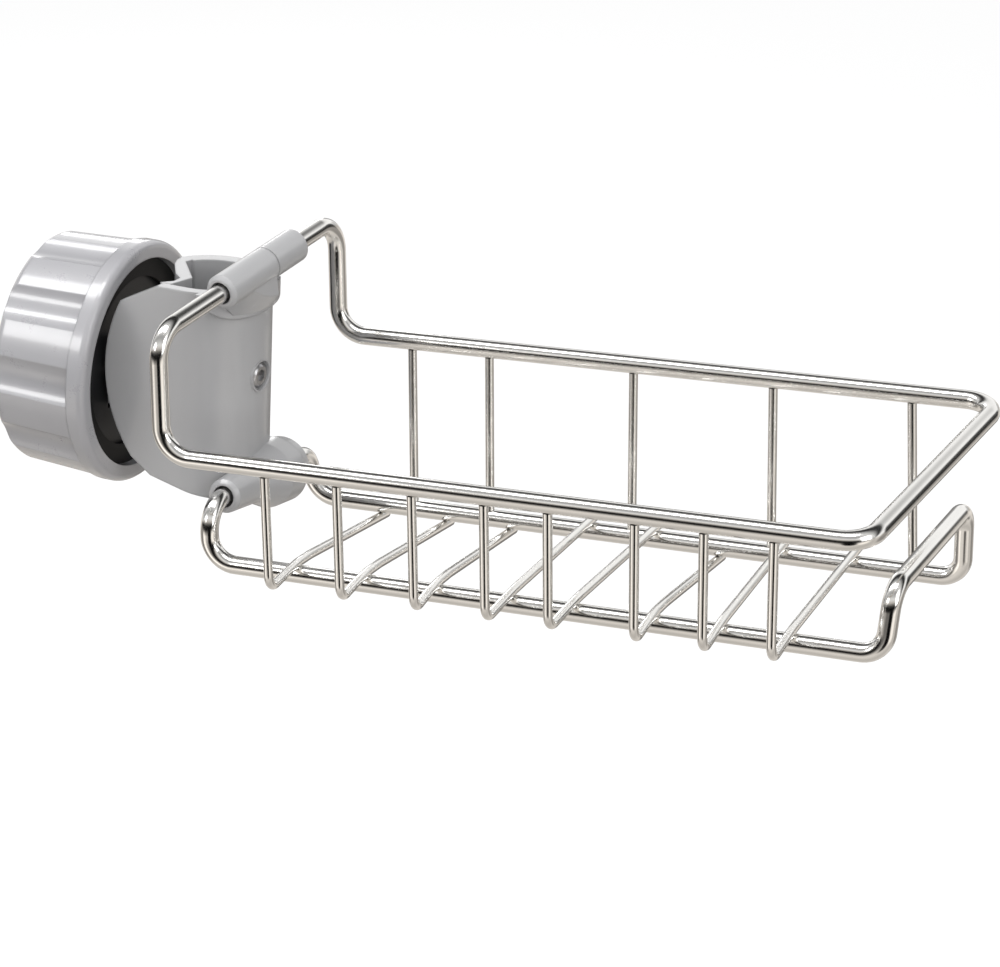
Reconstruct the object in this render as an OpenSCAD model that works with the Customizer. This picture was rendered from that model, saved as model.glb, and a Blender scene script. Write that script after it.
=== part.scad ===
/* [Wire] */
// Diameter of the thick frame wire
frame_wire_d = 4; // [3.6:0.1:4.2]
// Diameter of the thin basket wire
thin_wire_d = 2; // [1.6:0.1:2.2]
// Inside bend radius of the thick wire
frame_bend = 4.5; // [3.5:0.5:5.5]
// Inside bend radius of the thick wire at the lip
lip_bend = 3.2; // [2.6:0.1:4.5]
// Inside bend radius of the thin wires under the front rail
thin_bend = 2.5; // [1.5:0.5:3]

/* [Upper frame] */
// Left end of the upper front rail
upper_left = 11.5; // [11:0.1:12.5]
// Right end of the upper front rail
upper_right = 162.8; // [158:1:170]
// Distance of the upper front rail in front of the clamp axis
upper_front_y = 43.6; // [42:0.1:46]
// Height of the upper front rail against the clamp axis
upper_front_z = -3.8; // [-4.5:0.1:-3.2]
// Left end of the upper back rail
upper_back_left = 19.3; // [18:0.1:20]
// Right end of the upper back rail
upper_back_right = 172; // [166:1:176]
// Distance of the upper back rail behind the clamp axis
upper_back_y = 26.6; // [26:0.1:27.2]
// Height of the upper back rail
upper_back_z = 2.7; // [2:0.1:3]
// Height of the front end of the upper crossbar
riser_front_z = 22.6; // [22:0.1:23]
// Height of the back end of the upper crossbar
riser_back_z = 29.7; // [29:0.1:30.2]

/* [Lower frame] */
// Left end of the lower rails
lower_left = 12.2; // [11.6:0.1:12.6]
// Right end of the lower rails
lower_right = 162.4; // [160:0.2:168]
// Distance of the lower front rail in front of the clamp axis
lower_front_y = 27; // [26:0.1:28]
// Distance of the lower back rail behind the clamp axis
lower_back_y = 24.9; // [24.4:0.1:25.4]
// Height of the lower front rail
lower_front_z = -33.9; // [-34.6:0.1:-33.2]
// Height of the lower back rail
lower_back_z = -37; // [-37.4:0.1:-36.6]
// Height of the front end of the lower crossbar
lower_riser_front_z = -20.6; // [-21:0.1:-20]
// Height of the back end of the lower crossbar
lower_riser_back_z = -26; // [-26.4:0.1:-25.4]
// Height of the lip at the free end
lip_z = -20; // [-24:0.5:-16]

/* [Thin wires] */
// Distance along the rail to the first back wire
back_first_x = 37.5; // [34:0.5:40]
// Usual distance between the back wires
back_pitch = 32; // [28:0.5:33]
// Lean of the last back wires
back_lean = 2; // [0:0.5:3]
// Distance along the rail to the first floor wire
floor_first_x = 35.2; // [33:0.2:37]
// Usual distance between the floor wires
floor_pitch = 16; // [14:0.2:16.4]
// Usual lean of the floor wires to the left
floor_lean = 4; // [0:0.5:5]
// Height of the bend of the floor wires
floor_bend_z = -31; // [-32:0.1:-30.5]
// How far the floor wires reach past the lower back rail
floor_tip = 3.4; // [3:0.2:5]

/* [Clamp] */
// Angle by which the clamp leans toward the basket
clamp_lean = 4.5; // [4:0.1:5]
// Height of the clamp body above the knob axis
clamp_top = 22.6; // [21.5:0.1:22.8]
// Depth of the back half below the knob axis
back_bottom = 20; // [19:0.5:21]
// Outer radius of the round clamp body
clamp_r = 13.6; // [13.4:0.1:14]
// Wall thickness of the front half
front_wall = 2.5; // [2.2:0.1:2.8]
// Wall thickness of the back half
back_wall = 3.4; // [3:0.1:3.6]
// Radius of the rounded edge of the front plate
plate_r = 34.5; // [34:0.1:35]
// Outer diameter of the sleeves on the crossbars
sleeve_d = 7.6; // [7.4:0.1:8.6]
// Where the sleeves begin, in front of the clamp axis
sleeve_front = 20.1; // [19:0.1:21]
// Where the upper sleeve ends, behind the clamp axis
upper_sleeve_back = 10; // [9.8:0.1:11.5]
// Where the lower sleeve ends, behind the clamp axis
lower_sleeve_back = 13.4; // [13:0.1:14.5]
// Position of the seam between the two halves
seam_y = 6.5; // [6:0.1:7]
// Position of the seam between the two upper sleeves
knuckle_seam_y = -2.6; // [-3.5:0.1:-2]
// Gap in the seams
seam_gap = 0.3; // [0.3:0.05:0.4]
// Clearance between crossbar and the sliding sleeves of the front half
slide_clearance = 0.45; // [0.42:0.01:0.6]
// Clearance between crossbar and the fixed sleeves of the back half
seat_clearance = 0.02; // [0.01:0.01:0.05]

/* [Screw] */
// Height of the screw above the knob axis
screw_z = 1.8; // [1:0.1:2.4]
// Angle of the screw around the clamp body
screw_turn = -6; // [-12:1:-4]
// Diameter of the screw head
screw_head_d = 5.4; // [5:0.1:6]
// Height of the screw head
screw_head_h = 1.4; // [1.2:0.1:1.5]
// Diameter of the recess around the screw head
recess_d = 6.6; // [6.4:0.1:7.4]
// Diameter of the screw shank
screw_shank_d = 3; // [2.5:0.1:3.2]
// Clearance around the screw shank
screw_clearance = 0.05; // [0.02:0.01:0.1]
// Width over the flats of the hexagon socket
screw_hex = 2.5; // [2:0.1:3]

/* [Knob] */
// Height of the knob axis against the clamp middle
knob_z = -1; // [-1.4:0.1:-0.6]
// Outer diameter of the knob collar
knob_d = 55; // [53:0.5:56]
// Length of the knob
knob_length = 23.6; // [23:0.1:25]
// Wall of the knob at the open end
knob_wall = 3.8; // [3.4:0.1:4.2]
// Thickness of the closed end
knob_floor = 3.2; // [3:0.1:3.6]
// Position of the open end, left of the clamp axis
knob_mouth = 16.8; // [16.6:0.1:17.2]
// Width of the smooth collar at the open end
collar_length = 4.2; // [3:0.1:5]
// Loss of radius from the collar to the closed end
knob_draft = 1.2; // [0.6:0.1:1.4]
// Number of finger grooves
groove_count = 10; // [6:1:12]
// Depth of the finger grooves
groove_depth = 1.7; // [0.8:0.1:1.8]
// Radius of the finger grooves
groove_r = 7.8; // [6:0.2:9]

/* [Inside the knob] */
// Wall of the dark insert
core_wall = 2.7; // [2.5:0.1:3.2]
// Thickness of the thrust ring
ring_t = 4; // [3:0.1:4.2]
// Radial running clearance between ring and insert
ring_clearance = 0.08; // [0.05:0.01:0.1]
// Half height of the clamp tongues inside the knob
tongue_half = 8; // [6:0.2:9]
// How far the tongues reach left of the clamp axis
tongue_reach = 34.4; // [33:0.1:34.8]

/* [Hidden] */

frame_r = frame_wire_d / 2;
thin_r = thin_wire_d / 2;
frame_axis_bend = frame_bend + frame_r;
riser_axis_bend = frame_axis_bend - 0.6;
lip_axis_bend = lip_bend + frame_r;
thin_axis_bend = thin_bend + thin_r;
// Bends are this much thicker than the straight stretches that reach into them by lap
swell = 0.01;
lap = 0.06;
// Turns smaller than this angle are plain kinks
kink = 15;
// Crossing wires sink into each other by this much where they are welded
weld = 0.02;
// Floor wires drift left and inwards on their way down
floor_drift = 0.4;
floor_inset = 0.2;
// Share of a floor wire's lean that is reached at the lower front rail
front_share = 0.24;
// Cutters reach this far, past the whole clamp
far = 60;

upper_a = [upper_left + 0.8, -upper_front_y, riser_front_z];
upper_b = [upper_left, -upper_front_y, upper_front_z];
upper_c = [upper_right, -upper_front_y, upper_front_z];
upper_d = [upper_back_right, upper_back_y, upper_back_z];
upper_e = [upper_back_left, upper_back_y, upper_back_z];
upper_f = [upper_back_left, upper_back_y + 0.9, riser_back_z];

lower_a = [lower_left + 0.4, -lower_front_y, lower_riser_front_z];
lower_b = [lower_left, -lower_front_y, lower_front_z];
lower_c = [lower_right, -lower_front_y, lower_front_z];
lower_lip_c = [lower_right + 1.3, -lower_front_y + 1.6, lip_z];
lower_lip_d = [lower_right + 3.7, lower_back_y - 2.1, lip_z];
lower_d = [lower_right + 3.1, lower_back_y, lower_back_z];
lower_e = [lower_left - 0.8, lower_back_y, lower_back_z];
lower_f = [lower_left - 0.6, lower_back_y, lower_riser_back_z];

// Places of the floor wires in floor_pitch, and how far each leans left in floor_lean
floor_steps = [0, 1.025, 2.06875, 3.05625, 3.9125, 5.05625, 5.95, 6.8375] * floor_pitch;
floor_skew = [1.45, 1.5, 1.75, 0.625, 0.25, 1.25, 1, 0.6] * floor_lean;
floor_over = [false, false, false, true, true, false, true, true];
// Places of the back wires in back_pitch, and how far each foot stands right in back_lean
back_steps = [0, 0.5875, 1.65625, 2.653125, 3.609375] * back_pitch;
back_skew = [0, 0, 0, 0.25, 0.8] * back_lean;

WIRE_FN = 16;
ROUND_FN = 64;
PLASTIC = [0.72, 0.73, 0.75];

hollow_r = clamp_r - back_wall;
plate_in_y = -clamp_r + front_wall;
// Corners of the slanted grip wall on its inner side
grip_top = [-8.96, 4.88];
grip_tip = [-2.3, -4.5];
grip_foot = [-4.2, plate_in_y + seam_gap];
// Side view of the front half: chamfered top left, falling lower edge
plate_outline = [[-24, clamp_top - 9.6], [-6, clamp_top], [20, clamp_top],
                 [20, -27.8], [2.5, -24.3], [-7.5, -21.8], [-24, -9.5]];
plate_centre = [plate_r - 18.9, 2];
bore_front_r = frame_r + slide_clearance;
bore_back_r = frame_r + seat_clearance;
sleeve_r = sleeve_d / 2;
sleeve_round = 0.8;
hub_r = sleeve_r + 0.8;
boss_r = sleeve_r + 4;

knob_r = knob_d / 2;
knob_in_r = knob_r - knob_wall;
knob_end = knob_mouth + knob_length;
// Step from the collar down to the lobes
rim_step = 0.4;
draft_angle = atan((knob_draft - rim_step) / (knob_length - collar_length));
core_depth = 2.2;
collar_t = 1;
ring_gap = 0.3;
core_bore_r = knob_in_r - core_wall;
ring_start = core_depth + collar_t + ring_gap;
ring_r = core_bore_r - ring_clearance;
ring_lip = 1.8;
ring_lip_r = core_bore_r - ring_lip;
// Round window in the ring, with its middle off the axis
ring_window_r = 9;
ring_window_y = 6;
tongue_t = 2.4;
tongue_y = -8.4;
tongue_gap = 1;
tongue_play = 0.5;
// How far the front half can move away from the back half
opening = 1;

function unit(v) = v / norm(v);
function euler(u, v, n) =
    abs(u.z) > 0.99999
    ? [atan2(-n.y, v.y), u.z > 0 ? -90 : 90, 0]
    : [atan2(v.z, n.z), -asin(u.z), atan2(u.y, u.x)];
function turn(d1, d2) = acos(max(-1, min(1, d1 * d2)));
// Length of straight wire that a bend takes up before or after its corner, less the lap
function bend_cut(d1, d2, bend_r) = turn(d1, d2) < kink ? 0 : bend_r * tan(turn(d1, d2) / 2) - lap;
function along(a, b, s) = a + unit(b - a) * s;
// Point on the line a b at the given y
function at_y(a, b, y) = a + (b - a) * (y - a.y) / (b.y - a.y);

// Round bar from p to q
module bar(p, q, r) {
    d = q - p;
    translate(p)
    rotate([0, acos(d.z / norm(d)), atan2(d.y, d.x)])
    cylinder(h = norm(d), r = r, $fn = WIRE_FN);
}

// Bend at corner c between the directions d1 and d2
module bend(c, d1, d2, bend_r, r) {
    angle = turn(d1, d2);
    start = c - d1 * bend_r * tan(angle / 2);
    side = unit(d2 - d1 * (d1 * d2));
    u = -side;
    translate(start + side * bend_r)
    rotate(euler(u, d1, cross(u, d1)))
    rotate_extrude(angle = angle, $fn = 36)
    translate([bend_r, 0])
    circle(r = r + swell, $fn = WIRE_FN);
}

// Wire through the corner points, closed into a loop or open, with a bend radius for each corner
module wire(points, bends, r, closed) {
    n = len(points);
    last = closed ? n - 1 : n - 2;
    for (i = [0 : last]) {
        a = points[i];
        b = points[(i + 1) % n];
        before = unit(a - points[(i + n - 1) % n]);
        ahead = unit(b - a);
        after = unit(points[(i + 2) % n] - b);
        bend_start = closed || i > 0;
        bend_end = closed || i < n - 2;
        next_r = bends[(i + 1) % n];
        cut_a = bend_start ? bend_cut(before, ahead, bends[i]) : 0;
        cut_b = bend_end ? bend_cut(ahead, after, next_r) : 0;
        bar(a + ahead * cut_a, b - ahead * cut_b, r);
        if (bend_end && turn(ahead, after) >= kink) bend(b, ahead, after, next_r, r);
        if (bend_end && turn(ahead, after) < kink) translate(b) sphere(r = r + swell, $fn = WIRE_FN);
    }
}

module upper_frame() {
    color([0.78, 0.77, 0.75])
    wire([upper_a, upper_b, upper_c, upper_d, upper_e, upper_f],
        [for (i = [1 : 6]) frame_axis_bend], frame_r, true);
}

module lower_frame() {
    color([0.78, 0.77, 0.75])
    wire([lower_a, lower_b, lower_c, lower_lip_c, lower_lip_d, lower_d, lower_e, lower_f],
        [riser_axis_bend, riser_axis_bend, lip_axis_bend, lip_axis_bend,
         lip_axis_bend, lip_axis_bend, frame_axis_bend, frame_axis_bend], frame_r, true);
}

// L-shaped wire from the upper front rail down and back across the lower rails
module floor_wire(i) {
    x = floor_first_x + floor_steps[i];
    rest = frame_r + thin_r - weld;
    back_z = lower_back_z + (floor_over[i] ? rest : -rest);
    top = [x, -upper_front_y, upper_front_z - frame_r + weld];
    foot_x = x - floor_drift;
    corner = [foot_x, -upper_front_y + floor_inset, floor_bend_z];
    over_front = [foot_x - floor_skew[i] * front_share, -lower_front_y, lower_front_z + rest];
    past_back = [foot_x - floor_skew[i], lower_back_y, back_z];
    tip = along(over_front, past_back, norm(past_back - over_front) + floor_tip);
    color([0.78, 0.77, 0.75])
    wire([top, corner, over_front, tip], [0, thin_axis_bend, 0, 0], thin_r, false);
}

// Straight wire between the two back rails
module back_wire(i) {
    x = back_first_x + back_steps[i];
    top = [x, upper_back_y, upper_back_z - frame_r + weld];
    foot = [x + back_skew[i], lower_back_y, lower_back_z + frame_r - weld];
    color([0.78, 0.77, 0.75])
    bar(top, foot, thin_r);
}

// Turns the clamp parts from the upright frame of the clamp into the basket frame
module lean() {
    rotate([0, clamp_lean, 0]) children();
}

// Part of the space in front of (side -1) or behind (side 1) the plane y
module half_space(y, side) {
    translate([-far, side < 0 ? y - 2 * far : y, -far]) cube(2 * far);
}

// Bar or cone around the line a b between two y positions
module around(a, b, y0, y1, r0, r1) {
    p = at_y(a, b, y0);
    q = at_y(a, b, y1);
    d = q - p;
    translate(p)
    rotate([0, acos(d.z / norm(d)), atan2(d.y, d.x)])
    cylinder(h = norm(d), r1 = r0, r2 = r1, $fn = 48);
}

// Turned body around the line a b, through stations of y position and radius
module turned(a, b, stations) {
    y0 = stations[0][0];
    y1 = stations[len(stations) - 1][0];
    p = at_y(a, b, y0);
    d = at_y(a, b, y1) - p;
    h = norm(d);
    translate(p)
    rotate([0, acos(d.z / h), atan2(d.y, d.x)])
    rotate_extrude($fn = 48)
    polygon(concat(
        [[0, 0]],
        [for (s = stations) [s[1], (s[0] - y0) * h / (y1 - y0)]],
        [[0, h]]
    ));
}

// Web below the line a b
module web(a, b, y0, y1, depth, t) {
    p = at_y(a, b, y0);
    q = at_y(a, b, y1);
    d = q - p;
    translate(p)
    rotate([0, acos(d.z / norm(d)), atan2(d.y, d.x)])
    translate([0, -t / 2, 0])
    cube([depth, t, norm(d)]);
}

// Side outline of the front half, as a block along y
module plate_block() {
    intersection() {
        rotate([90, 0, 0])
        linear_extrude(height = 2 * far, center = true)
        polygon(plate_outline);
        translate([plate_centre.x, far, plate_centre.y])
        rotate([90, 0, 0])
        cylinder(h = 2 * far, r = plate_r, $fn = 128);
    }
}

// Front plate and round wall of the front half, upright
module front_shell() {
    difference() {
        intersection() {
            union() {
                translate([0, 0, -far]) cylinder(h = 2 * far, r = clamp_r, $fn = ROUND_FN);
                translate([-far, -clamp_r, -far]) cube([far, clamp_r, 2 * far]);
            }
            plate_block();
        }
        translate([0, 0, -far - 1]) cylinder(h = 2 * far + 2, r = clamp_r - front_wall, $fn = ROUND_FN);
        translate([-far, plate_in_y, -far - 1]) cube([far, far, 2 * far + 2]);
    }
}

// Tongue that reaches into the knob, above (side 1) or below (side -1) its axis
module tongue(start, side) {
    translate([-tongue_reach, tongue_y, knob_z + (side > 0 ? tongue_gap / 2 : -tongue_half)])
    cube([tongue_reach - start, tongue_t, tongue_half - tongue_gap / 2]);
}

// Frame of the screw: z points out of the clamp wall, 0 is the floor of the recess
module screw_frame() {
    lean()
    rotate([0, 0, screw_turn])
    translate([clamp_r - 1.5, 0, screw_z])
    rotate([0, 90, 0])
    children();
}

// Lens-shaped pad on the round wall below the upper sleeve
module upper_pad() {
    intersection() {
        around(upper_a, upper_f, -24, 24, 10.2, 10.2);
        lean() translate([0, 0, 12]) cylinder(h = clamp_top - 12, r = 15.2, $fn = ROUND_FN);
    }
}

module clamp_front() {
    color(PLASTIC)
    difference() {
        union() {
            lean() {
                front_shell();
                tongue(13, 1);
                translate([-17.6, plate_in_y - 0.1, knob_z + tongue_gap / 2])
                cube([4.6, tongue_y - plate_in_y + 0.2, tongue_half - tongue_gap / 2]);
            }
            screw_frame() cylinder(h = 1.55, d = recess_d + 1, $fn = 48);
            turned(upper_a, upper_f, [[-sleeve_front, sleeve_r - sleeve_round],
                [sleeve_round - sleeve_front, sleeve_r], [knuckle_seam_y, sleeve_r]]);
            turned(lower_a, lower_f, [[-sleeve_front, sleeve_r - sleeve_round],
                [sleeve_round - sleeve_front, sleeve_r], [-7, hub_r], [0, boss_r - 0.4],
                [seam_y + 1, boss_r]]);
            upper_pad();
            intersection() {
                web(upper_a, upper_f, -18, knuckle_seam_y - 0.3, 9.5, 6.4);
                lean() translate([0, 0, 15]) cylinder(h = 13, r1 = 13, r2 = 23, $fn = ROUND_FN);
            }
        }
        half_space(seam_y, 1);
        around(upper_a, upper_f, -far, far, bore_front_r, bore_front_r);
        around(lower_a, lower_f, -26, 24, bore_front_r, bore_front_r);
        lean()
        difference() {
            translate([0, 0, -far]) cylinder(h = 2 * far, r = hollow_r, $fn = ROUND_FN);
            half_space(plate_in_y, -1);
        }
        screw_frame() {
            cylinder(h = 4, d = recess_d, $fn = 48);
            translate([0, 0, -4])
            cylinder(h = 8, r = screw_shank_d / 2 + screw_clearance, $fn = WIRE_FN);
        }
    }
}

// Slanted grip wall and neck of the back half, upright
module grip_wall() {
    translate([0, 0, -back_bottom])
    linear_extrude(height = back_bottom + clamp_top)
    polygon([[-8.5, 7.6], [-8.4, 6.3], grip_top, grip_tip, grip_foot, [-6.8, grip_foot.y],
             [-4.7, -8.6], [-4.5, -6], [-6.9, -3.6], [-8.9, -0.2], [-10.4, 2.4],
             [-11.3, 5.6], [-10.9, 7.9]]);
}

module clamp_back() {
    start = seam_y + seam_gap;
    neck = at_y(upper_a, upper_f, start + 0.2);
    color(PLASTIC)
    difference() {
        union() {
            difference() {
                union() {
                    difference() {
                        union() {
                            lean()
                            translate([0, 0, -back_bottom])
                            cylinder(h = back_bottom + clamp_top, r = clamp_r, $fn = ROUND_FN);
                            turned(lower_a, lower_f, [[0, boss_r], [9.2, boss_r - 0.8],
                                [lower_sleeve_back, sleeve_r + 0.4]]);
                        }
                        half_space(start, -1);
                    }
                    turned(upper_a, upper_f, [[knuckle_seam_y + seam_gap, sleeve_r],
                        [upper_sleeve_back - sleeve_round, sleeve_r],
                        [upper_sleeve_back, sleeve_r - sleeve_round]]);
                    translate(neck)
                    rotate([0, -138, 0])
                    translate([-2, 0, 0])
                    cube([4, 2.4, 11]);
                }
                lean() translate([0, 0, -45]) cylinder(h = 90, r = hollow_r, $fn = ROUND_FN);
            }
            lean() {
                grip_wall();
                tongue(4.6, -1);
            }
        }
        around(upper_a, upper_f, -far, far, bore_back_r, bore_back_r);
        around(lower_a, lower_f, -26, 24, bore_back_r, bore_back_r);
    }
}

// Pan head screw with a hexagon socket
module clamp_screw() {
    color([0.6, 0.6, 0.6])
    screw_frame()
    difference() {
        union() {
            cylinder(h = screw_head_h - 0.5, d = screw_head_d, $fn = 48);
            translate([0, 0, screw_head_h - 0.5])
            cylinder(h = 0.5, d1 = screw_head_d, d2 = screw_head_d - 1.2, $fn = 48);
            translate([0, 0, -1]) cylinder(h = 1.2, d = screw_shank_d, $fn = WIRE_FN);
        }
        translate([0, 0, 0.6])
        cylinder(h = 2, r = screw_hex / sqrt(3), $fn = 6);
    }
}

// Knob frame: z runs from the open end into the knob, x points up
module knob_frame() {
    lean()
    translate([-knob_mouth, 0, knob_z])
    rotate([0, -90, 0])
    children();
}

module knob_outline() {
    edge = 1.6;
    corner = 2.4;
    end_r = knob_r - knob_draft;
    difference() {
        union() {
            translate([0, edge]) square([knob_r, collar_length - edge]);
            square([knob_r - edge, collar_length]);
            translate([knob_r - edge, edge]) circle(r = edge, $fn = 32);
            polygon([[0, collar_length], [knob_r - rim_step, collar_length],
                     [end_r, knob_length - corner], [0, knob_length - corner]]);
            square([end_r - corner, knob_length]);
            translate([end_r - corner, knob_length - corner]) circle(r = corner, $fn = 48);
        }
        translate([-far, -far]) square([far, 2 * far]);
    }
}

module knob() {
    color(PLASTIC)
    knob_frame()
    difference() {
        rotate_extrude($fn = 80) knob_outline();
        translate([0, 0, -1]) cylinder(h = 1 + knob_length - knob_floor, r = knob_in_r, $fn = ROUND_FN);
        for (i = [0 : groove_count - 1])
            rotate([0, 0, i * 360 / groove_count + 93])
            translate([knob_r - rim_step - groove_depth + groove_r, 0, collar_length + 0.05])
            rotate([0, -draft_angle, 0])
            cylinder(h = knob_length, r = groove_r, $fn = 64);
    }
}

// Dark insert with a groove that carries the thrust ring
module knob_core() {
    groove_h = ring_t + 2 * ring_gap;
    color([0.08, 0.08, 0.09])
    knob_frame()
    difference() {
        translate([0, 0, core_depth])
        cylinder(h = knob_length - knob_floor - core_depth, r = knob_in_r, $fn = ROUND_FN);
        translate([0, 0, core_depth - 1])
        cylinder(h = collar_t + 1, r = ring_lip_r, $fn = ROUND_FN);
        translate([0, 0, core_depth + collar_t])
        cylinder(h = groove_h, r = core_bore_r, $fn = ROUND_FN);
        translate([0, 0, core_depth + collar_t + groove_h])
        cylinder(h = far, r = ring_lip_r, $fn = ROUND_FN);
    }
}

// Ring that stays square to the clamp while the knob turns around it
module thrust_ring() {
    window_y = tongue_y - opening - tongue_play;
    window_w = opening + tongue_t + 2 * tongue_play;
    color([0.2, 0.2, 0.22])
    knob_frame()
    translate([0, 0, ring_start])
    difference() {
        cylinder(h = ring_t, r = ring_r, $fn = ROUND_FN);
        translate([-tongue_half - 0.5, window_y, -1])
        cube([2 * tongue_half + 1, window_w, ring_t + 2]);
        translate([0, ring_window_y, -1]) cylinder(h = ring_t + 2, r = ring_window_r, $fn = 64);
    }
}

upper_frame();
lower_frame();
floor_wire(0);  // floor_wire_1
floor_wire(1);  // floor_wire_2
floor_wire(2);  // floor_wire_3
floor_wire(3);  // floor_wire_4
floor_wire(4);  // floor_wire_5
floor_wire(5);  // floor_wire_6
floor_wire(6);  // floor_wire_7
floor_wire(7);  // floor_wire_8
back_wire(0);  // back_wire_1
back_wire(1);  // back_wire_2
back_wire(2);  // back_wire_3
back_wire(3);  // back_wire_4
back_wire(4);  // back_wire_5
clamp_front();
clamp_back();
clamp_screw();
knob();
knob_core();
thrust_ring();
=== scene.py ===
# %% [markdown]
# # A wire sponge holder with a tap clamp
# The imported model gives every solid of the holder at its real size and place: the bent wires, the two halves
# of the clamp, its screw and the hollow knob. This lesson gives each piece the finish of the real one, draws
# the wires again as smooth ones and lights everything as a small white studio would.

# %% Load the fixed frame
import math

import bpy
from mathutils import Matrix, Vector


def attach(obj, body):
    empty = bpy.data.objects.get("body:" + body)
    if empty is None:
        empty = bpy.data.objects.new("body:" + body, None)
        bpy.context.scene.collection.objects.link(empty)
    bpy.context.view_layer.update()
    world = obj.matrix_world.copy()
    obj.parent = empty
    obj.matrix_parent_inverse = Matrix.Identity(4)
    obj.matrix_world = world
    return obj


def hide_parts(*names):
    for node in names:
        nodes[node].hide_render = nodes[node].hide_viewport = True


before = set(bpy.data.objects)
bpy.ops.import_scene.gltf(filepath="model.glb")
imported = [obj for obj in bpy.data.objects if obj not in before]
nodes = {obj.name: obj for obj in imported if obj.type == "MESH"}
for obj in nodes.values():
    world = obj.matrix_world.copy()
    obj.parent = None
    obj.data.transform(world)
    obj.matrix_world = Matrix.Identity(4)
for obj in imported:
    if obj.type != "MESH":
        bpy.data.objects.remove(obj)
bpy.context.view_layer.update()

# %% [markdown]
# The camera stands where the photograph was taken from: 23 degrees to the right of the front, 20 degrees
# above the rails, with a long lens. Its three axes are worked out here, because a camera that is only aimed
# at a point would lose the slight roll of the real one.

# %% Camera
AZIMUTH = math.radians(22.862)
ELEVATION = math.radians(20.363)
ROLL = math.radians(-1.304)
CAMERA_PLACE = (0.29752, -0.54107, 0.19961)
FOCAL_MM = 104.4
SENSOR_MM = 36

right = Vector((math.cos(AZIMUTH), math.sin(AZIMUTH), 0))
level_back = Vector((math.sin(AZIMUTH), -math.cos(AZIMUTH), 0))
back = level_back * math.cos(ELEVATION) + Vector((0, 0, math.sin(ELEVATION)))
up = back.cross(right)
rolled_right = math.cos(ROLL) * right + math.sin(ROLL) * up
rolled_up = math.cos(ROLL) * up - math.sin(ROLL) * right
lens = bpy.data.cameras.new("camera")
lens.lens, lens.sensor_width, lens.sensor_fit = FOCAL_MM, SENSOR_MM, "HORIZONTAL"
camera = bpy.data.objects.new("camera", lens)
bpy.context.scene.collection.objects.link(camera)
turn = Matrix((rolled_right, rolled_up, back)).transposed().to_4x4()
camera.matrix_world = Matrix.Translation(CAMERA_PLACE) @ turn
bpy.context.scene.camera = camera
print("camera at", tuple(round(v, 3) for v in camera.location))

# %% [markdown]
# Materials are built from nodes. A small class wraps a socket, so that the arithmetic of a pattern can be
# written as ordinary expressions, and one method adds every other kind of node.

# %% A wrapper for shader maths
class Socket:
    """One output of a node, for use in expressions."""

    def __init__(self, recipe, socket):
        self.recipe, self.socket = recipe, socket

    def math(self, operation, first, second):
        return self.recipe.add("ShaderNodeMath", {"operation": operation}, {0: first, 1: second})

    def __add__(self, other):
        return self.math("ADD", self, other)

    def __radd__(self, other):
        return self.math("ADD", other, self)

    def __sub__(self, other):
        return self.math("SUBTRACT", self, other)

    def __rsub__(self, other):
        return self.math("SUBTRACT", other, self)

    def __mul__(self, other):
        return self.math("MULTIPLY", self, other)

    def __rmul__(self, other):
        return self.math("MULTIPLY", other, self)


class Recipe:
    """The node tree of a material or of the world."""

    def __init__(self, tree):
        self.tree = tree

    def feed(self, socket, value):
        """Link a socket, or set its value."""
        if isinstance(value, Socket):
            self.tree.links.new(value.socket, socket)
        else:
            socket.default_value = value

    def add(self, kind, settings, inputs, output=0):
        """Any node: its settings come first, then the values or links of its sockets."""
        node = self.tree.nodes.new(kind)
        for name, value in settings.items():
            if name == "stops":
                while len(node.color_ramp.elements) < len(value):
                    node.color_ramp.elements.new(0.5)
                for element, (place, colour) in zip(node.color_ramp.elements, value):
                    element.position, element.color = place, colour
            else:
                setattr(node, name, value)
        for name, value in inputs.items():
            self.feed(node.inputs[name], value)
        return Socket(self, node.outputs[output])

    def mix(self, factor, first, second):
        """One colour at 0 and the other at 1."""
        return self.add("ShaderNodeMix", {"data_type": "RGBA"}, {0: factor, 6: first, 7: second}, 2)

    def ramp(self, value, low, high):
        """0 below low and 1 above high, smooth between."""
        return self.add("ShaderNodeMapRange", {"interpolation_type": "SMOOTHSTEP"},
                        {"Value": value, "From Min": low, "From Max": high})


def new_material(name, **fixed):
    """A material, its recipe and its shader, with the values that are the same all over set on the shader."""
    material = bpy.data.materials.new(name)
    material.use_nodes = True
    shader = material.node_tree.nodes["Principled BSDF"]
    for socket, value in fixed.items():
        shader.inputs[socket.replace("_", " ")].default_value = value
    return material, Recipe(material.node_tree), shader


print("shader helpers ready")

# %% [markdown]
# The wires are polished stainless steel, with a faint warm tint. Drawn wire is never a perfect mirror. A wide
# noise makes its polish uneven, and a very fine one gives it a grain and roughens it a little.

# %% Polished steel
GRAIN_DEPTH = 0.00002
DULLER = 0.88


def polished_steel(name, roughness, tint):
    material, recipe, shader = new_material(name, Metallic=1.0)
    place = recipe.add("ShaderNodeTexCoord", {}, {}, "Object")
    cloud = recipe.add("ShaderNodeTexNoise", {}, {"Vector": place, "Scale": 60, "Detail": 4})
    grain = recipe.add("ShaderNodeTexNoise", {}, {"Vector": place, "Scale": 1400, "Detail": 3})
    dull = tuple(DULLER * v for v in tint)
    recipe.feed(shader.inputs["Base Color"], recipe.mix(cloud, (*tint, 1), (*dull, 1)))
    recipe.feed(shader.inputs["Roughness"], roughness + 0.06 * cloud + 0.04 * grain)
    bump = recipe.add("ShaderNodeBump", {}, {"Strength": 0.04, "Distance": GRAIN_DEPTH, "Height": grain})
    recipe.feed(shader.inputs["Normal"], bump)
    return material


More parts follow.
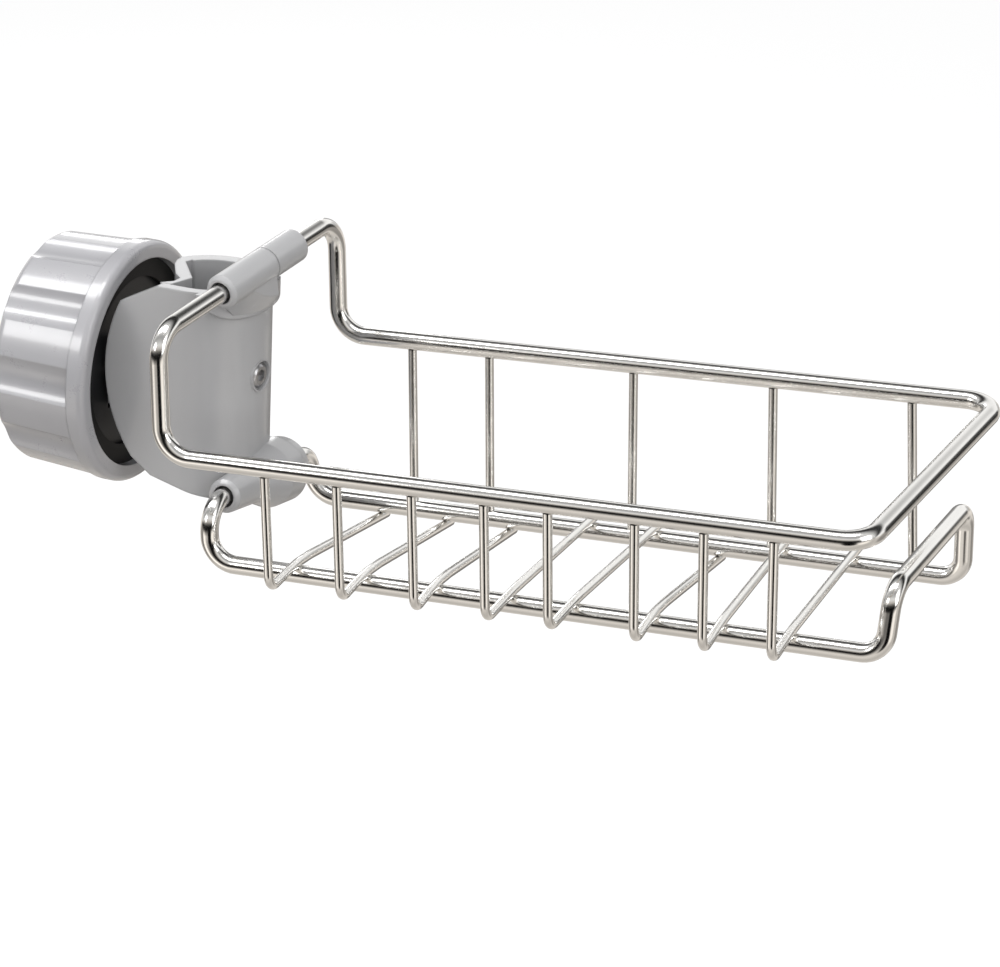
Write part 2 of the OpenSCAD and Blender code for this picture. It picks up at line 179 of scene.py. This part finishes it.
thick_steel = polished_steel("thick_wire_steel", 0.10, (0.90, 0.89, 0.87))
thin_steel = polished_steel("thin_wire_steel", 0.12, (0.88, 0.87, 0.85))
print("steel for", sum("wire" in n or "frame" in n for n in nodes), "wires")

# %% [markdown]
# Clamp and knob are moulded plastic. A mould leaves a very fine grain and slow drifts of colour, and no edge
# is perfectly sharp. The Bevel node rounds the light on every edge without changing the solid.

# %% Moulded plastic
def moulded_plastic(name, light, dark, roughness, edge, coat=0.0, index=1.5):
    """Plastic that drifts between two colours, with its edges rounded by a radius in metres."""
    material, recipe, shader = new_material(name, Coat_Weight=coat, Coat_Roughness=0.12, IOR=index)
    place = recipe.add("ShaderNodeTexCoord", {}, {}, "Object")
    cloud = recipe.add("ShaderNodeTexNoise", {}, {"Vector": place, "Scale": 26, "Detail": 3})
    grain = recipe.add("ShaderNodeTexNoise", {}, {"Vector": place, "Scale": 2600, "Detail": 2})
    scuff = recipe.add("ShaderNodeTexNoise", {}, {"Vector": place, "Scale": 160, "Detail": 6})
    drift = recipe.ramp(cloud, 0.3, 0.7)
    recipe.feed(shader.inputs["Base Color"], recipe.mix(drift, (*light, 1), (*dark, 1)))
    recipe.feed(shader.inputs["Roughness"], roughness + 0.10 * scuff + 0.04 * grain)
    rounded = recipe.add("ShaderNodeBevel", {"samples": 6}, {"Radius": edge})
    bump = recipe.add("ShaderNodeBump", {}, {
        "Strength": 0.06, "Distance": GRAIN_DEPTH, "Height": grain, "Normal": rounded})
    recipe.feed(shader.inputs["Normal"], bump)
    return material


clamp_plastic = moulded_plastic(
    "clamp_grey", (0.340, 0.340, 0.345), (0.322, 0.322, 0.327), roughness=0.30, edge=0.0006, coat=0.6)
knob_plastic = moulded_plastic(
    "knob_grey", (0.325, 0.323, 0.336), (0.305, 0.303, 0.316), roughness=0.22, edge=0.0006, coat=0.8)
# The insert in the knob's mouth is dark plastic made near black, as painted shade for the deep shadow inside
# the hollow knob.
insert_shade_black = moulded_plastic(
    "insert_painted_shade", (0.006, 0.006, 0.0065), (0.003, 0.003, 0.0035), roughness=0.34, edge=0.0003, index=1.2)
ring_plastic = moulded_plastic(
    "ring_dark", (0.014, 0.014, 0.015), (0.008, 0.008, 0.009), roughness=0.28, edge=0.0004, index=1.3)
screw_steel = polished_steel("screw_steel", 0.26, (0.50, 0.50, 0.51))
print("plastics: 4, and the duller steel of the screw")

# %% [markdown]
# A bent wire is round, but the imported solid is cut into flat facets, and polished steel mirrors the room
# facet by facet. Each wire is therefore drawn again. Cylinders joined by spun arcs would do for that, but
# a seam between them could show in the mirror finish. So one line is drawn through the corner points, with
# every corner rounded by an arc, and a round section of 24 sides is swept along it. The sweep becomes a mesh
# that stands for the solid. Its end caps are merged with it, so that the mesh is closed. The corner points
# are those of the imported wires, in millimetres.

# %% Round off the corners of a bent wire
MM = 0.001
ARC_STEP = math.radians(5)
LEAD = 0.1
SIDES = 24
SHARPEST_SMOOTH = math.radians(40)
TOUCHING = 0.000001


def rounded_path(corners, bends, closed):
    """Points along a wire: straight between its corners and round at each of them.

    A point is added a short lead before and after each arc, so that the sweep meets the straight stretches
    square.
    """
    corners = [Vector(corner) for corner in corners]
    count, path = len(corners), []
    for i, corner in enumerate(corners):
        if not closed and i in (0, count - 1):
            path.append(corner)
            continue
        arriving = (corner - corners[i - 1]).normalized()
        leaving = (corners[(i + 1) % count] - corner).normalized()
        angle = arriving.angle(leaving)
        side = (leaving - arriving * arriving.dot(leaving)).normalized()
        start = corner - arriving * bends[i] * math.tan(angle / 2)
        middle = start + side * bends[i]
        steps = max(2, round(angle / ARC_STEP))
        path.append(start - arriving * LEAD)
        for k in range(steps + 1):
            turned = angle * k / steps
            path.append(middle + bends[i] * (math.sin(turned) * arriving - math.cos(turned) * side))
        path.append(path[-1] + leaving * LEAD)
    return path


def bent_wire(node, corners, bends, radius, closed, material):
    """A smooth wire that stands for an imported one."""
    line = bpy.data.curves.new(node + "_polished", "CURVE")
    line.dimensions, line.use_fill_caps = "3D", True
    line.bevel_depth, line.bevel_resolution = radius * MM, SIDES // 2 - 2
    path = rounded_path(corners, bends, closed)
    spline = line.splines.new("POLY")
    spline.points.add(len(path) - 1)
    spline.use_cyclic_u = closed
    for point, place in zip(spline.points, path):
        point.co = (*(place * MM), 1)
    wire = bpy.data.objects.new(node + "_polished", line)
    bpy.context.scene.collection.objects.link(wire)
    bpy.ops.object.select_all(action="DESELECT")
    wire.select_set(True)
    bpy.context.view_layer.objects.active = wire
    bpy.ops.object.convert(target="MESH")
    bpy.ops.object.mode_set(mode="EDIT")
    bpy.ops.mesh.select_all(action="SELECT")
    bpy.ops.mesh.remove_doubles(threshold=TOUCHING)
    bpy.ops.object.mode_set(mode="OBJECT")
    bpy.ops.object.shade_smooth_by_angle(angle=SHARPEST_SMOOTH)
    wire.data.materials.append(material)
    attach(wire, "holder")
    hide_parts(node)


print("bends are drawn in steps of", round(math.degrees(ARC_STEP)), "degrees")

# %% [markdown]
# Two closed wires make the basket. The upper one runs around the top, a little higher at the back, and rises
# at the left into a crossbar through the clamp. The lower one carries the floor, rises into the lip at the
# right and has a crossbar of its own at the left.

# %% Thick wires
THICK = 2
UPPER = [
    # front left riser, front rail, right end, back rail, back left riser
    (12.3, -43.6, 22.6), (11.5, -43.6, -3.8), (162.8, -43.6, -3.8), (172, 26.6, 2.7), (19.3, 26.6, 2.7),
    (19.3, 27.5, 29.7),
]
UPPER_BENDS = [6.5] * len(UPPER)
LOWER = [
    # front left riser, front rail, lip, back rail, back left riser
    (12.6, -27, -20.6), (12.2, -27, -33.9), (162.4, -27, -33.9), (163.7, -25.4, -20), (166.1, 22.8, -20),
    (165.5, 24.9, -37), (11.4, 24.9, -37), (11.6, 24.9, -26),
]
LOWER_BENDS = [5.9, 5.9, 5.2, 5.2, 5.2, 5.2, 6.5, 6.5]
bent_wire("upper_frame", UPPER, UPPER_BENDS, THICK, True, thick_steel)
bent_wire("lower_frame", LOWER, LOWER_BENDS, THICK, True, thick_steel)
print("thick wires: 2")

# %% [markdown]
# Eight L-shaped floor wires hang from the upper front rail, turn under it and run back across the lower
# rails. Four of them pass over the lower back rail and four under it, and all curve gently where they cross
# the lower front rail. Five straight wires join the two back rails.

# %% Thin wires
THIN = 1
FLOOR = [
    # left to right: x at the rail above, at the lower front rail and at the tip
    (35.2, 33.41, 28.72), (51.6, 49.76, 44.91), (68.3, 66.22, 60.56), (84.1, 83.10, 81.08),
    (97.8, 97.16, 96.35), (116.1, 114.50, 110.46), (130.4, 129.04, 125.80), (144.6, 143.62, 141.68),
]
PASS_OVER = (4, 5, 7, 8)
LEAN = 0.4
# y and z of the top, the corner, the crossing of the lower front rail, and a tip over or under the back rail
TOP, CORNER, CROSSING = (-43.6, -5.78), (-43.4, -31), (-27, -30.92)
TIP_OVER, TIP_UNDER = (28.29, -34.22), (28.24, -40.56)
FLOOR_BENDS = [0, 3.5, 80, 0]
for number, (above, front, tip) in enumerate(FLOOR, 1):
    end = TIP_OVER if number in PASS_OVER else TIP_UNDER
    corners = [(above, *TOP), (above - LEAN, *CORNER), (front, *CROSSING), (tip, *end)]
    bent_wire(f"floor_wire_{number}", corners, FLOOR_BENDS, THIN, False, thin_steel)

# x of the head and the foot of each back wire, then y and z of both
BACK = [(37.5, 37.5), (56.3, 56.3), (90.5, 90.5), (122.4, 122.9), (153, 154.6)]
HEAD, FOOT = (26.6, 0.72), (24.9, -35.02)
for number, (head, foot) in enumerate(BACK, 1):
    corners = [(head, *HEAD), (foot, *FOOT)]
    bent_wire(f"back_wire_{number}", corners, [0, 0], THIN, False, thin_steel)
print("thin wires:", len(FLOOR) + len(BACK))

# %% [markdown]
# The clamp, its screw, the knob and what sits in the knob's mouth keep their imported meshes and only take a
# finish. The insert in the knob's mouth is made near black, darker than its own dark plastic, as painted shade
# for the deep hollow of the knob. The imported wires take the steel too, although the smooth ones stand for
# them.

# %% Give each solid its finish
FINISHES = {
    "upper_frame": thick_steel, "lower_frame": thick_steel, "clamp_front": clamp_plastic,
    "clamp_back": clamp_plastic, "clamp_screw": screw_steel, "knob": knob_plastic,
    "knob_core": insert_shade_black, "thrust_ring": ring_plastic,
}
for name, solid in nodes.items():
    solid.data.materials.clear()
    solid.data.materials.append(FINISHES.get(name, thin_steel))
print("finished solids:", len(nodes))

# %% [markdown]
# A white studio. Polished wire shows nothing of its own, only what stands around it, so the surroundings are
# drawn for reflections: a bright panel high in front, a black strip at eye level, a grey floor and a dark
# ceiling behind. The strips run from left to right and are listed by their angle up from the front horizon.
# Round patches take light away, as a camera and the dark corners of a room do, or add some, as a reflector
# does. A picture of a real studio would also serve, but drawn bands need no file and can be moved until they
# lie on the wire as in the photograph. Rays that a matt surface gathers meet a plain soft white instead, and
# the camera sees white.

# %% World
world = bpy.data.worlds.new("studio")
bpy.context.scene.world = world
world.use_nodes = True
studio = Recipe(world.node_tree)
direction = studio.add("ShaderNodeTexCoord", {}, {}, "Generated")
STRIPS = [
    # degrees up from the front horizon, brightness
    (-180, 0.95), (-140, 0.74), (-112, 0.66), (-90, 0.56), (-70, 0.58), (-52, 0.70), (-36, 0.80), (-24, 0.66),
    (-13, 0.22), (-4, 0.0), (8, 0.0), (15, 0.12), (24, 0.62), (34, 0.85), (46, 0.50), (57, 0.34), (68, 0.60),
    (84, 0.80), (98, 0.55), (108, 0.30), (118, 0.02), (134, 0.02), (140, 0.60), (147, 1.00), (165, 1.10),
    (180, 0.95),
]
PATCHES = [
    # direction of the middle, cosines of the outer and inner edge, share of light taken (negative: added)
    ((0.365, -0.864, -0.348), 0.920, 0.970, 1.00),
    ((0.624, 0.780, 0.049), 0.955, 0.988, 0.95),
    ((-0.923, -0.163, -0.348), 0.890, 0.970, 0.60),
    ((0.718, 0.602, -0.348), 0.870, 0.970, 0.60),
    ((-0.628, -0.697, -0.348), 0.950, 0.990, -0.80),
    ((0.827, -0.440, -0.348), 0.940, 0.985, -0.50),
    ((-0.365, 0.864, -0.348), 0.940, 0.988, 0.75),
    ((0.206, 0.973, 0.029), 0.960, 0.990, 0.45),
    ((0.020, 0.880, -0.475), 0.965, 0.990, 0.75),
    ((-0.340, 0.940, 0.040), 0.965, 0.990, 0.75),
]
WARM, NEUTRAL = (1.0, 0.94, 0.87), (1.0, 0.995, 0.985)
WARM_BELOW = 30
SOFT_BELOW, SOFT_ABOVE = (0.28, 0.28, 0.283, 1), (0.85, 0.85, 0.86, 1)


def strip_stop(angle, brightness):
    """A stop of the colour ramp: what lies below the high panel is slightly warm."""
    tint = WARM if angle < WARM_BELOW else NEUTRAL
    return (angle / 360 + 0.5, (*(brightness * v for v in tint), 1))


def patch(towards, outer, inner, taken):
    """Share of the light that a round patch of the surroundings takes."""
    facing = studio.add(
        "ShaderNodeVectorMath", {"operation": "DOT_PRODUCT"}, {0: direction, 1: towards}, "Value")
    return studio.ramp(facing, outer, inner) * taken


depth = studio.add("ShaderNodeSeparateXYZ", {}, {0: direction}, "Y")
height = studio.add("ShaderNodeSeparateXYZ", {}, {0: direction}, "Z")
angle_up = height.math("ARCTAN2", height, depth * -1)
strips = studio.add("ShaderNodeValToRGB", {"stops": [strip_stop(*strip) for strip in STRIPS]},
                    {"Fac": angle_up * (0.5 / math.pi) + 0.5})
shade = 1
for towards, outer, inner, taken in PATCHES:
    shade = shade * (1 - patch(towards, outer, inner, taken))
mirrored = studio.add(
    "ShaderNodeMix", {"data_type": "RGBA", "blend_type": "MULTIPLY"}, {0: 1.0, 6: strips, 7: shade}, 2)
soft = studio.mix(studio.ramp(height, -0.2, 0.9), SOFT_BELOW, SOFT_ABOVE)
glossy = studio.add("ShaderNodeLightPath", {}, {}, "Is Glossy Ray")
seen = studio.add("ShaderNodeLightPath", {}, {}, "Is Camera Ray")
lit = studio.mix(glossy, soft, mirrored)
final = studio.mix(seen, lit, (1, 1, 1, 1))
studio.feed(world.node_tree.nodes["Background"].inputs["Color"], final)
print("world drawn with", len(STRIPS), "strips and", len(PATCHES), "patches")

# %% [markdown]
# The floor is a plain pale sweep below the holder. It looks white to the camera and still takes a faint
# shadow, because most of its white is its own light and the rest is lit. To all other rays it is a duller
# grey, so that it throws less light up at the holder, and the polished wires don't mirror it.

# %% Floor
FLOOR_WHITE, FLOOR_BOUNCE = (0.95, 0.95, 0.95, 1), (0.36, 0.35, 0.34, 1)
OWN_LIGHT = 0.85
bpy.ops.object.select_all(action="DESELECT")
bpy.ops.mesh.primitive_plane_add(size=8, location=(0.08, 0, -0.11))
floor = bpy.context.object
floor.name = "floor"
floor_material, floor_recipe, floor_shader = new_material("floor_white", Roughness=0.8)
glow = floor_recipe.add("ShaderNodeEmission", {}, {"Color": (1, 1, 1, 1), "Strength": 1.0})
camera_ray = floor_recipe.add("ShaderNodeLightPath", {}, {}, "Is Camera Ray")
floor_recipe.feed(floor_shader.inputs["Base Color"], floor_recipe.mix(camera_ray, FLOOR_BOUNCE, FLOOR_WHITE))
blend = floor_recipe.add("ShaderNodeMixShader", {}, {
    0: camera_ray * OWN_LIGHT, 1: Socket(floor_recipe, floor_shader.outputs[0]), 2: glow})
floor_recipe.feed(floor_material.node_tree.nodes["Material Output"].inputs["Surface"], blend)
floor.data.materials.append(floor_material)
floor.visible_glossy = False
print("floor at", round(floor.location.z, 3), "m")

# %% [markdown]
# Five soft boxes: a long one overhead, a small one at the left front that draws the highlights along the
# knob, a wide one at the right front that no surface mirrors, a weak one at the right, and a small one behind
# that draws the highlights along the sleeves.

# %% Lamps
def aim(place, target):
    """The turn of a lamp that looks from place at target, with its sides upright."""
    return (Vector(target) - Vector(place)).to_track_quat("-Z", "Y").to_euler()


def soft_box(name, place, turn, size, power):
    """A rectangular lamp, with its width and height in metres and its power in watts."""
    light = bpy.data.lights.new(name, "AREA")
    light.shape, light.size, light.size_y, light.energy = "RECTANGLE", size[0], size[1], power
    lamp = bpy.data.objects.new(name, light)
    bpy.context.scene.collection.objects.link(lamp)
    lamp.location = place
    lamp.rotation_euler = turn
    return lamp


CLAMP, BASKET = (0, 0, 0), (0.08, 0, 0)
OVERHEAD, OVERHEAD_TURN = (-0.20, -0.16, 0.94), (math.radians(9.7), 0, 0)
LEFT_FRONT, FRONT = (-0.55, -0.75, 0.45), (0.45, -0.85, 0.3)
BACK_LEFT, RIGHT = (-0.42, 0.83, 0.22), (0.9, -0.35, 0.3)
front_box = soft_box("front", FRONT, aim(FRONT, CLAMP), (0.5, 0.5), 4)
front_box.visible_glossy = False
lamps = [
    front_box,
    soft_box("overhead", OVERHEAD, OVERHEAD_TURN, (1.3, 0.24), 8),
    soft_box("left_front", LEFT_FRONT, aim(LEFT_FRONT, CLAMP), (0.35, 0.2), 1.7),
    soft_box("back_left", BACK_LEFT, aim(BACK_LEFT, CLAMP), (0.2, 0.1), 0.35),
    soft_box("right", RIGHT, aim(RIGHT, BASKET), (0.4, 0.6), 2),
]
print("lamps:", len(lamps))

# %% [markdown]
# The Standard view shows every grey as it was mixed, where a film-like view would soften the contrast that
# makes the steel look polished.

# %% Colours as written
bpy.context.scene.view_settings.view_transform = "Standard"
print("view:", bpy.context.scene.view_settings.view_transform)
